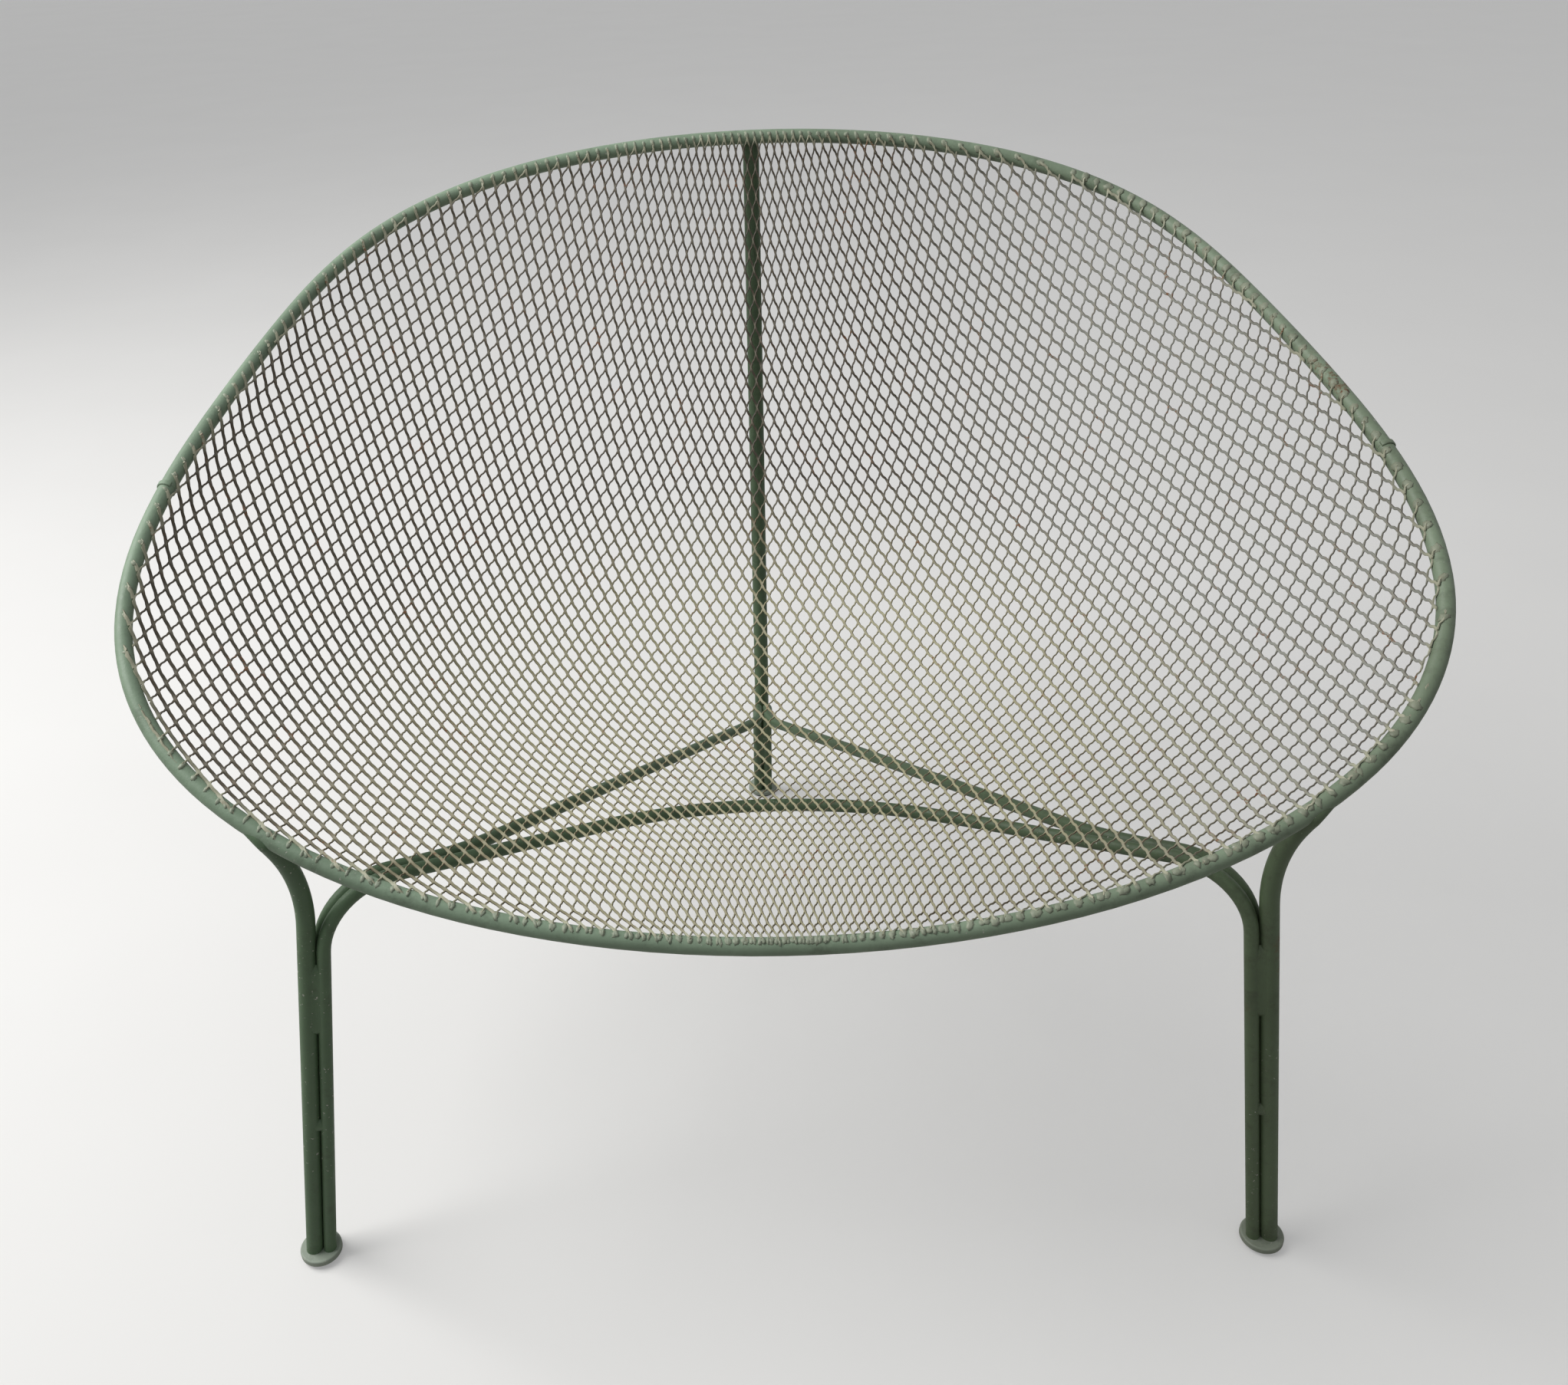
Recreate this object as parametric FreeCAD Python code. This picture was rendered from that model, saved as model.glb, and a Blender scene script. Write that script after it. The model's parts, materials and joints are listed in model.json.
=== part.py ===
import FreeCAD, Part
import math
import os

# Patio lounge chair. An egg-shaped rim bar carries a dished sheet of expanded metal and stands
# on three legs, each a bundle of three bars. Millimetres and degrees. X runs from left to right
# as seen from the front, Y from front to back, Z up from the floor.

# Bars and sheet
RIM_BAR = 13.0
UPRIGHT_BAR = 14.2
SPINE_BAR = 16.0
STRETCHER_BAR = 10.8
BAR_GAP = 0.4
MESH_THICKNESS = 2.4
MESH_EDGE_GAP = 0.3
MESH_BORDER = 16.0
OPENING_COLUMNS = 12
OPENING_STRETCH = 1.9
OPENING_SHARE = 0.82

# Hoop: the tilted plane that the rim lies near, from the front edge to the top of the back
FRONT_HEIGHT = 380.0
HOOP_LENGTH = 843.0
HOOP_TILT = 27.3

# Rim half width at the middle of the hoop, and how it changes towards the two ends
HALF_WIDTH = 478.0
WIDTH_TAPER = -85.0
WIDTH_ENDS = 177.0
WIDTH_EGG = 83.0

# Height of the rim above the hoop plane at the arms
ARM_RISE = 36.0
ARM_FORWARD = -63.0
ARM_FALL = -26.0

# Depth of the dish below the rim
DISH_DEPTH = 306.0
DISH_FORWARD = -45.0
DISH_EASE = -139.0

# Feet
FRONT_FOOT_INSET = 94.4
FRONT_FOOT_SETBACK = 44.0
REAR_FOOT_INSET = 46.0
FOOT_DISC = 35.0
FOOT_DISC_THICK = 5.0
FOOT_DISC_ROUND = 1.6
GLIDE = 29.0
GLIDE_THICK = 4.0
GLIDE_ROUND = 1.0

# Legs
LEG_LEAN = 9.7
FRONT_LEG_HEADING = 33.0
FRONT_BUNDLE_TURN = -7.0
FRONT_BEND_DROP = 63.0
REAR_BEND_HEIGHT = 150.0
LEG_BEND_RADIUS = 55.0
REAR_BEND_RADIUS = 45.0

# Uprights and spine
UPRIGHT_ANGLE = 35.8
UPRIGHT_FLARE_DROP = 52.0
UPRIGHT_BEND_RADIUS = 140.0
UPRIGHT_SET_OUT = 1.0
SPINE_KNEE_HEIGHT = 160.0
SPINE_BEND_RADIUS = 120.0
SPINE_SET_BACK = 7.5
BAR_END_DROP = 4.0

# Stretchers
SEAT_CLEARANCE = 10.0
FRONT_BOW_RADIUS = 250.0
PAIR_RUN = 110.0
SPREAD_RADIUS = 150.0
REAR_RUN = 66.0
REAR_RUN_RISE = 18.0
REAR_SPREAD_RADIUS = 90.0

# Welds
WELD_CLEARANCE = 0.1
RIM_JOINT_ANGLE = 85.0
RIM_JOINT_GAP = 0.2
RIM_WELD_WIDTH = 5.0
RIM_WELD_RAISE = 1.2
LEG_WELD_RADIUS = 2.2
FRONT_WELD_BELOW_BEND = 11.0
FRONT_WELD_LENGTH = 62.0
FRONT_TACK_LOW = 146.0
REAR_WELD_BELOW_BEND = 14.0
REAR_WELD_LENGTH = 42.0
REAR_TACK_LOW = 28.0
LEG_TACK_LENGTH = 8.0
END_WELD_RADIUS = 1.2
TACK_RADIUS = 2.6
FRONT_TACKS = 18
BACK_TACKS = 24

# Fineness of the curved pieces
RIM_STATIONS = 14
SHEET_COLUMNS = 21
SHEET_ROWS = 25
SHEET_MARGIN = 1.04
SMALLEST_OPENING = 0.06
OUTLINE_STATIONS = 72
SMALL_STEP = 0.001

UP = FreeCAD.Vector(0, 0, 1)
TILT = math.radians(HOOP_TILT)
HOOP_ALONG = FreeCAD.Vector(0, math.cos(TILT), math.sin(TILT))
HOOP_OUT = FreeCAD.Vector(0, -math.sin(TILT), math.cos(TILT))
RIM_RADIUS = RIM_BAR / 2
UPRIGHT_RADIUS = UPRIGHT_BAR / 2
SPINE_RADIUS = SPINE_BAR / 2
STRETCHER_RADIUS = STRETCHER_BAR / 2
FOOT_TOP = GLIDE_THICK + FOOT_DISC_THICK
HOOP_DEPTH = HOOP_LENGTH * math.cos(TILT)
TOP_ANGLE = math.pi
JOINT_ANGLE = math.radians(RIM_JOINT_ANGLE)
CONTACT_ANGLE = math.radians(UPRIGHT_ANGLE)

os.makedirs("parts", exist_ok=True)


# The hoop: its share m runs from -1 at the front edge to 1 at the top of the back

def half_width(m):
    return HALF_WIDTH + WIDTH_TAPER * m + WIDTH_ENDS * m ** 2 + WIDTH_EGG * m ** 3


def arm_rise(m):
    return ARM_RISE + ARM_FORWARD * m + ARM_FALL * m ** 2


def dish_depth(m):
    return DISH_DEPTH + DISH_FORWARD * m + DISH_EASE * m ** 2


def dish_height(x, m):
    inside = 1 - m ** 2
    return inside * arm_rise(m) - dish_depth(m) * (inside - (x / half_width(m)) ** 2)


def hoop_place(x, m, height):
    along = HOOP_LENGTH * (1 + m) / 2
    return FreeCAD.Vector(x, 0, FRONT_HEIGHT) + HOOP_ALONG * along + HOOP_OUT * height


def rim_share(angle):
    m = -math.cos(angle)
    return half_width(m) * math.sin(angle), m


def rim_point(angle):
    x, m = rim_share(angle)
    return hoop_place(x, m, dish_height(x, m))


def rim_reach():
    return max(rim_share(math.radians(angle))[0] for angle in range(181))


def rim_tangent(angle):
    step = rim_point(angle + SMALL_STEP) - rim_point(angle - SMALL_STEP)
    return step.normalize()


# Bars: wires of straight runs and tangent arcs, swept with a round section

def arc_from_corner(start, corner, end):
    middle = (start + end) / 2
    to_corner = corner - middle
    half_chord = (end - start).Length / 2
    turn = math.atan2(to_corner.Length, half_chord)
    if turn < SMALL_STEP / 10:
        return Part.LineSegment(start, end).toShape()
    apex = middle + to_corner.normalize() * (half_chord * math.tan(turn / 2))
    return Part.Arc(start, apex, end).toShape()


def biarc(start, start_way, end, end_way):
    chord = end - start
    along = chord.dot(start_way + end_way)
    bend = 2 * (1 - start_way.dot(end_way))
    reach = (math.sqrt(along ** 2 + bend * chord.dot(chord)) - along) / bend
    first = start + start_way * reach
    second = end - end_way * reach
    joint = (first + second) / 2
    return [arc_from_corner(start, first, joint), arc_from_corner(joint, second, end)]


def round_bar(edges, start, way, radius):
    section = Part.Wire(Part.Circle(start, way, radius).toShape())
    return Part.Wire(edges).makePipeShell([section], True, False)


def rim_span(from_angle, to_angle, stations, radius):
    angles = [from_angle + (to_angle - from_angle) * i / stations for i in range(stations + 1)]
    edges = []
    for low, high in zip(angles, angles[1:]):
        edges += biarc(rim_point(low), rim_tangent(low), rim_point(high), rim_tangent(high))
    return round_bar(edges, rim_point(from_angle), rim_tangent(from_angle), radius)


def bent_bar(points, bend_radii, radius):
    edges = []
    last = points[0]
    for before, corner, after, bend in zip(points, points[1:], points[2:], bend_radii):
        way_in = (corner - before).normalize()
        way_out = (after - corner).normalize()
        reach = bend * math.tan(way_in.getAngle(way_out) / 2)
        arc_start = corner - way_in * reach
        arc_end = corner + way_out * reach
        edges.append(Part.LineSegment(last, arc_start).toShape())
        edges.append(arc_from_corner(arc_start, corner, arc_end))
        last = arc_end
    edges.append(Part.LineSegment(last, points[-1]).toShape())
    return round_bar(edges, points[0], points[1] - points[0], radius)


def capsule(low, high, radius):
    rod = Part.makeCylinder(radius, (high - low).Length, low, high - low)
    return rod.fuse([Part.makeSphere(radius, low), Part.makeSphere(radius, high)]).removeSplitter()


def mirrored(shape):
    return shape.mirror(FreeCAD.Vector(0, 0, 0), FreeCAD.Vector(1, 0, 0))


def mirrored_point(point):
    return FreeCAD.Vector(-point.x, point.y, point.z)


# Rim: two hoops that meet butt to butt at the arms, with a raised weld ring round each joint

def rim_hoops():
    half_gap = RIM_JOINT_GAP / 2 / (rim_point(JOINT_ANGLE + 0.5) - rim_point(JOINT_ANGLE - 0.5)).Length
    front_end = JOINT_ANGLE - half_gap
    back_end = JOINT_ANGLE + half_gap
    front = rim_span(-front_end, front_end, RIM_STATIONS, RIM_RADIUS)
    back = rim_span(back_end, 2 * math.pi - back_end, RIM_STATIONS, RIM_RADIUS)
    return front, back


def rim_weld():
    way = rim_tangent(-JOINT_ANGLE)
    low = rim_point(-JOINT_ANGLE) - way * (RIM_WELD_WIDTH / 2)
    ring = Part.makeCylinder(RIM_RADIUS + RIM_WELD_RAISE, RIM_WELD_WIDTH, low, way)
    ring = ring.makeFillet(RIM_WELD_RAISE * 0.8, [edge for edge in ring.Edges if edge.Closed])
    bore = Part.makeCylinder(RIM_RADIUS + WELD_CLEARANCE, RIM_WELD_WIDTH, low, way)
    return ring.cut([bore, sheet_core(-WELD_CLEARANCE)])


# Seat mesh: the dished sheet, trimmed to lie just inside the rim bar

def sheet_normal(x, m):
    across = (dish_height(x + 1, m) - dish_height(x - 1, m)) / 2
    share = 2 / HOOP_LENGTH
    along = (dish_height(x, m + share) - dish_height(x, m - share)) / 2
    normal = HOOP_OUT - FreeCAD.Vector(across, 0, 0) - HOOP_ALONG * along
    return normal.normalize()


def sheet_surface(lift):
    reach = rim_reach() * SHEET_MARGIN
    grid = []
    for row in range(SHEET_ROWS):
        m = SHEET_MARGIN * (2 * row / (SHEET_ROWS - 1) - 1)
        line = []
        for column in range(SHEET_COLUMNS):
            x = reach * (2 * column / (SHEET_COLUMNS - 1) - 1)
            line.append(hoop_place(x, m, dish_height(x, m)) + sheet_normal(x, m) * lift)
        grid.append(line)
    surface = Part.BSplineSurface()
    surface.interpolate(grid)
    return surface.toShape()


def sheet_edge(angle, border=0):
    x, m = rim_share(angle)
    ahead_x, ahead_m = rim_share(angle + SMALL_STEP)
    step_x = ahead_x - x
    step_along = (ahead_m - m) * HOOP_LENGTH / 2
    length = math.hypot(step_x, step_along)
    inward_x = -step_along / length
    inward_m = step_x / length * 2 / HOOP_LENGTH
    slope = dish_height(x + inward_x, m + inward_m) - dish_height(x, m)
    fall = math.atan(abs(slope))
    half = MESH_THICKNESS / 2
    clear = RIM_RADIUS + MESH_EDGE_GAP
    inset = border + half * math.sin(fall) + math.cos(fall) * math.sqrt(clear ** 2 - half ** 2)
    return x + inward_x * inset, m + inward_m * inset


def sheet_core(border):
    outline = []
    for station in range(OUTLINE_STATIONS):
        x, m = sheet_edge(2 * math.pi * station / OUTLINE_STATIONS, border)
        outline.append(hoop_place(x, m, -HOOP_LENGTH))
    curve = Part.BSplineCurve()
    curve.interpolate(outline, PeriodicFlag=True)
    return Part.Face(Part.Wire(curve.toShape())).extrude(HOOP_OUT * (2 * HOOP_LENGTH))


def mesh_openings():
    pitch = 2 * rim_reach() / OPENING_COLUMNS
    rows = round(2 * HOOP_LENGTH / (OPENING_STRETCH * pitch))
    wide = OPENING_SHARE * pitch / 2
    long = OPENING_SHARE * 2 / rows
    openings = []
    for row in range(1, rows):
        m = 2 * row / rows - 1
        for column in range(-OPENING_COLUMNS, OPENING_COLUMNS + 1):
            x = pitch * column / 2
            if (row + column) % 2 or abs(x) > half_width(m):
                continue
            corners = [(x - wide, m), (x, m - long), (x + wide, m), (x, m + long), (x - wide, m)]
            outline = Part.makePolygon([hoop_place(a, b, -HOOP_LENGTH) for a, b in corners])
            openings.append(Part.Face(outline).extrude(HOOP_OUT * (2 * HOOP_LENGTH)))
    return Part.makeCompound(openings)


def seat_mesh():
    faces = [sheet_surface(MESH_THICKNESS / 2), sheet_surface(-MESH_THICKNESS / 2)]
    for above, below in zip(faces[0].Edges, faces[1].Edges):
        faces.append(Part.makeRuledSurface(above, below))
    shell = Part.makeShell(faces)
    shell.sewShape()
    plate = Part.makeSolid(shell)
    holes = sheet_core(MESH_BORDER).common(mesh_openings())
    whole = max(hole.Volume for hole in holes.Solids)
    holes = [hole for hole in holes.Solids if hole.Volume > SMALLEST_OPENING * whole]
    return plate.common(sheet_core(0)).cut(Part.makeCompound(holes)).Solids[0]


def tack_welds(from_angle, to_angle, count):
    dabs = []
    lift = TACK_RADIUS + MESH_THICKNESS / 2 + WELD_CLEARANCE
    reach = math.sqrt((RIM_RADIUS + TACK_RADIUS + WELD_CLEARANCE) ** 2 - lift ** 2)
    for i in range(count):
        angle = from_angle + (to_angle - from_angle) * (i + 0.5) / count
        x, m = sheet_edge(angle)
        inward = (hoop_place(x, m, dish_height(x, m)) - rim_point(angle)).normalize()
        upward = inward.cross(rim_tangent(angle)).normalize()
        if upward.dot(HOOP_OUT) < 0:
            upward = -upward
        dabs.append(Part.makeSphere(TACK_RADIUS, rim_point(angle) + inward * reach + upward * lift))
    return Part.makeCompound(dabs)


# Legs: a thick outer bar and two stretcher ends in a trefoil that leans in towards the middle

class Leg:
    def __init__(self, foot, inward, turn, thick):
        lean = math.radians(LEG_LEAN)
        self.foot = foot
        self.thick = thick
        self.inward = inward
        self.way = inward * math.sin(lean) + UP * math.cos(lean)
        self.across = inward * math.cos(lean) - UP * math.sin(lean)
        side = UP.cross(inward)
        bundle_across = self.across * math.cos(turn) + side * math.sin(turn)
        bundle_side = side * math.cos(turn) - self.across * math.sin(turn)
        half_pair = (STRETCHER_BAR + BAR_GAP) / 2
        depth = math.sqrt((thick + STRETCHER_RADIUS + BAR_GAP) ** 2 - half_pair ** 2)
        behind = (depth + thick - STRETCHER_RADIUS) / 2
        self.outer = bundle_across * (behind - depth)
        self.inner = [bundle_across * behind + bundle_side * (sign * half_pair) for sign in (-1, 1)]

    def at_height(self, offset, z):
        start = self.foot + offset
        return start + self.way * ((z - start.z) / self.way.z)

    def groove(self, first, first_radius, second, second_radius, third):
        line = second - first
        apart = line.Length
        line.normalize()
        first_reach = first_radius + LEG_WELD_RADIUS + WELD_CLEARANCE
        second_reach = second_radius + LEG_WELD_RADIUS + WELD_CLEARANCE
        along = (first_reach ** 2 - second_reach ** 2 + apart ** 2) / (2 * apart)
        out = self.way.cross(line)
        if out.dot(third - first) > 0:
            out = -out
        return first + line * along + out * math.sqrt(first_reach ** 2 - along ** 2)

    def weld(self, low, length):
        left, right = self.inner
        thin = STRETCHER_RADIUS
        grooves = [
            self.groove(self.outer, self.thick, left, thin, right),
            self.groove(self.outer, self.thick, right, thin, left),
            self.groove(left, thin, right, thin, self.outer),
        ]
        beads = []
        for groove in grooves:
            top = self.at_height(groove, low + length)
            beads.append(capsule(self.at_height(groove, low), top, LEG_WELD_RADIUS))
        return Part.makeCompound(beads)


heading = math.radians(FRONT_LEG_HEADING)
LEFT_LEG = Leg(
    FreeCAD.Vector(FRONT_FOOT_INSET - rim_reach(), FRONT_FOOT_SETBACK, FOOT_TOP),
    FreeCAD.Vector(math.cos(heading), math.sin(heading), 0),
    math.radians(FRONT_BUNDLE_TURN),
    UPRIGHT_RADIUS,
)
REAR_LEG = Leg(
    FreeCAD.Vector(0, HOOP_DEPTH - REAR_FOOT_INSET, FOOT_TOP),
    FreeCAD.Vector(0, -1, 0),
    0,
    SPINE_RADIUS,
)
RIM_CONTACT = rim_point(-CONTACT_ANGLE)
FLOOR_BLOCK = Part.makeBox(
    2 * HOOP_LENGTH, 2 * HOOP_LENGTH, HOOP_LENGTH,
    FreeCAD.Vector(-HOOP_LENGTH, -HOOP_LENGTH / 2, FOOT_TOP - HOOP_LENGTH),
)


def standing(shape):
    return shape.cut(FLOOR_BLOCK)


def seat_underside(y):
    low, high = -1.0, 1.0
    for _ in range(40):
        m = (low + high) / 2
        if hoop_place(0, m, dish_height(0, m)).y < y:
            low = m
        else:
            high = m
    return hoop_place(0, low, dish_height(0, low)).z - MESH_THICKNESS / 2


# Stretchers: the two bars of a front leg bend inwards one outside the other, run side by side
# and part; the front one bows across under the seat, the side one falls to the rear leg

FRONT_BEND = LEFT_LEG.at_height(LEFT_LEG.inner[0], RIM_CONTACT.z - FRONT_BEND_DROP)
FRONT_MIDDLE = FRONT_BEND + LEFT_LEG.inward * (-FRONT_BEND.x / LEFT_LEG.inward.x)
FRONT_MIDDLE.z = seat_underside(FRONT_MIDDLE.y) - SEAT_CLEARANCE - STRETCHER_RADIUS
FRONT_RUN = (FRONT_MIDDLE - FRONT_BEND).normalize()
REAR_BEND = REAR_LEG.at_height(REAR_LEG.inner[0], REAR_BEND_HEIGHT)
REAR_RISE = REAR_LEG.inward * REAR_RUN + UP * REAR_RUN_RISE


def front_stretcher():
    half = [LEFT_LEG.at_height(LEFT_LEG.inner[0], 0), FRONT_BEND]
    points = half + [FRONT_MIDDLE] + [mirrored_point(p) for p in reversed(half)]
    radii = [LEG_BEND_RADIUS, FRONT_BOW_RADIUS, LEG_BEND_RADIUS]
    return standing(bent_bar(points, radii, STRETCHER_RADIUS))


def left_stretcher():
    front_bar = LEFT_LEG.inner[1]
    rear_bar = REAR_LEG.inner[0]
    apart = front_bar - LEFT_LEG.inner[0]
    outside = -apart.dot(LEFT_LEG.across)
    turn = LEFT_LEG.way.getAngle(FRONT_RUN)
    bend = FRONT_BEND + apart + LEFT_LEG.way * (outside * math.tan(turn / 2))
    spread = bend + FRONT_RUN * PAIR_RUN
    points = [LEFT_LEG.at_height(front_bar, 0), bend, spread]
    points += [REAR_BEND + REAR_RISE, REAR_BEND, REAR_LEG.at_height(rear_bar, 0)]
    radii = [LEG_BEND_RADIUS + outside, SPREAD_RADIUS, REAR_SPREAD_RADIUS, REAR_BEND_RADIUS]
    return standing(bent_bar(points, radii, STRETCHER_RADIUS))


# Uprights and spine: the outer bar of each leg goes on up and is welded to the underside of the rim

def bar_to_rim(leg, knee, bend, angle, set_out):
    outward = rim_tangent(angle).cross(UP).normalize()
    end = rim_point(angle) + outward * set_out - UP * BAR_END_DROP
    points = [leg.at_height(leg.outer, 0), leg.at_height(leg.outer, knee), end]
    bar = bent_bar(points, [bend], leg.thick)
    near = math.radians(6)
    rim_cutter = rim_span(angle - near, angle + near, 2, RIM_RADIUS + WELD_CLEARANCE)
    bar_cutter = bent_bar(points, [bend], leg.thick + WELD_CLEARANCE)
    way = (points[2] - points[1]).normalize()
    ring_place = end - way * (RIM_RADIUS - BAR_END_DROP)
    ring = Part.makeTorus(leg.thick + END_WELD_RADIUS / 2, END_WELD_RADIUS, ring_place, way)
    sheet_side = Part.makeCylinder(4 * leg.thick, 4 * leg.thick, ring_place, -outward)
    ring = ring.cut([rim_cutter, bar_cutter, sheet_side])
    ring = max(ring.Solids, key=lambda solid: solid.Volume)
    return standing(bar.cut(rim_cutter)), ring


def foot_disc(foot):
    disc = Part.makeCylinder(FOOT_DISC / 2, FOOT_DISC_THICK, FreeCAD.Vector(foot.x, foot.y, GLIDE_THICK))
    top = [edge for edge in disc.Edges if edge.Closed and edge.BoundBox.ZMin > FOOT_TOP - SMALL_STEP]
    return disc.makeFillet(FOOT_DISC_ROUND, top)


def glide(foot):
    pad = Part.makeCylinder(GLIDE / 2, GLIDE_THICK, FreeCAD.Vector(foot.x, foot.y, 0))
    bottom = [edge for edge in pad.Edges if edge.Closed and edge.BoundBox.ZMax < SMALL_STEP]
    return pad.makeFillet(GLIDE_ROUND, bottom)


# Build every piece in a frame that starts at the front edge of the rim
pieces = {}
pieces["rim_front_hoop"], pieces["rim_back_hoop"] = rim_hoops()
pieces["rim_weld_left"] = rim_weld()
pieces["rim_weld_right"] = mirrored(pieces["rim_weld_left"])
pieces["seat_mesh"] = seat_mesh()
pieces["front_tack_welds"] = tack_welds(-JOINT_ANGLE, JOINT_ANGLE, FRONT_TACKS)
pieces["back_tack_welds"] = tack_welds(JOINT_ANGLE, 2 * math.pi - JOINT_ANGLE, BACK_TACKS)

pieces["front_stretcher"] = front_stretcher()
pieces["left_stretcher"] = left_stretcher()
pieces["right_stretcher"] = mirrored(pieces["left_stretcher"])

flare_height = RIM_CONTACT.z - UPRIGHT_FLARE_DROP
pieces["left_upright"], pieces["left_upright_weld"] = bar_to_rim(
    LEFT_LEG, flare_height, UPRIGHT_BEND_RADIUS, -CONTACT_ANGLE, UPRIGHT_SET_OUT
)
pieces["right_upright"] = mirrored(pieces["left_upright"])
pieces["right_upright_weld"] = mirrored(pieces["left_upright_weld"])
pieces["rear_spine"], pieces["spine_weld"] = bar_to_rim(
    REAR_LEG, SPINE_KNEE_HEIGHT, SPINE_BEND_RADIUS, TOP_ANGLE, SPINE_SET_BACK
)

front_bend_start = FRONT_BEND.z - LEG_BEND_RADIUS * math.tan(LEFT_LEG.way.getAngle(FRONT_RUN) / 2)
front_weld_low = front_bend_start - FRONT_WELD_BELOW_BEND - FRONT_WELD_LENGTH
rear_bend_start = REAR_BEND.z - REAR_BEND_RADIUS * math.tan(REAR_LEG.way.getAngle(REAR_RISE) / 2)
rear_weld_low = rear_bend_start - REAR_WELD_BELOW_BEND - REAR_WELD_LENGTH
pieces["left_leg_weld"] = LEFT_LEG.weld(front_weld_low, FRONT_WELD_LENGTH)
pieces["left_leg_tack"] = LEFT_LEG.weld(FRONT_TACK_LOW, LEG_TACK_LENGTH)
pieces["right_leg_weld"] = mirrored(pieces["left_leg_weld"])
pieces["right_leg_tack"] = mirrored(pieces["left_leg_tack"])
pieces["rear_leg_weld"] = REAR_LEG.weld(rear_weld_low, REAR_WELD_LENGTH)
pieces["rear_leg_tack"] = REAR_LEG.weld(REAR_TACK_LOW, LEG_TACK_LENGTH)

right_foot = mirrored_point(LEFT_LEG.foot)
for side, foot in (("left", LEFT_LEG.foot), ("right", right_foot), ("rear", REAR_LEG.foot)):
    pieces[side + "_foot_disc"] = foot_disc(foot)
    pieces[side + "_glide"] = glide(foot)

# Move the chair so that the origin is on the floor under the middle of its bounding box
box = Part.makeCompound(list(pieces.values())).optimalBoundingBox(False, False)
for name, shape in pieces.items():
    shape.translate(FreeCAD.Vector(0, -(box.YMin + box.YMax) / 2, 0))
    shape.exportStep("parts/" + name + ".step")
    valid = all(solid.isValid() for solid in shape.Solids)
    print(name, len(shape.Solids), "solids", round(shape.Volume), "mm3", "valid" if valid else "NOT VALID")
print("moved back by", round((box.YMin + box.YMax) / 2, 3))
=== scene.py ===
import bpy
import json
import math
import numpy as np
from mathutils import Matrix, Vector

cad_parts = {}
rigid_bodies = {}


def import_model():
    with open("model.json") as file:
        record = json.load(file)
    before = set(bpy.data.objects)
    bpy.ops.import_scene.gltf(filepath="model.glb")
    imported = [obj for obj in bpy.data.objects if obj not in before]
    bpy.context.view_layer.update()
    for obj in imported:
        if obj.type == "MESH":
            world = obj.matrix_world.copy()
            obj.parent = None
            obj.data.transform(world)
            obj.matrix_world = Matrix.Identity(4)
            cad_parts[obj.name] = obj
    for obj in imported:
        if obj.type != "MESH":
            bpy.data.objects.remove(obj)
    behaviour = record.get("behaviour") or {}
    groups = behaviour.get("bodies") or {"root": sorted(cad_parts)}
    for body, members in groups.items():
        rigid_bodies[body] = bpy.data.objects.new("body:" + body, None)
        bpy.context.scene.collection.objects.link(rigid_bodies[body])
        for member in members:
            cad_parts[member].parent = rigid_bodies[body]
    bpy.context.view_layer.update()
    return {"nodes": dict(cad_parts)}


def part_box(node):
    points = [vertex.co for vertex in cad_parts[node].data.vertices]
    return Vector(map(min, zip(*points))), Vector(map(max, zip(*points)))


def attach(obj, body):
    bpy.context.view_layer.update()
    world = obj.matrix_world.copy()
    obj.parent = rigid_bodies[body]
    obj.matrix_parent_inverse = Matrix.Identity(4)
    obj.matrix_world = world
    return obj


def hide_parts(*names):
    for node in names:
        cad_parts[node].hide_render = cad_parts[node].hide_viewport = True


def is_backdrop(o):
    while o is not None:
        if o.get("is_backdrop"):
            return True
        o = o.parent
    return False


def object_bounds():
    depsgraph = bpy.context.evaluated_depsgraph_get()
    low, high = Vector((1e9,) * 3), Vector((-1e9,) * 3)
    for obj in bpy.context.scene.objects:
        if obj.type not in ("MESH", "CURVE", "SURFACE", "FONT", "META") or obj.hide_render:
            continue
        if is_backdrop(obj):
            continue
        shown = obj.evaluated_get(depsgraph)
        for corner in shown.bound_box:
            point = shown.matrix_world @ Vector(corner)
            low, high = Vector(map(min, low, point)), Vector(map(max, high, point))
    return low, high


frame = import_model()
bpy.ops.object.select_all(action="DESELECT")


# Rim. One 13 mm steel bar runs all round the seat: two bent hoops, butt-welded at the sides and
# ground to a low raised ring. Brushed sage-green paint, clean on the left, browner towards the
# right, with grime and rusty flecks that grow a little there.


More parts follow.
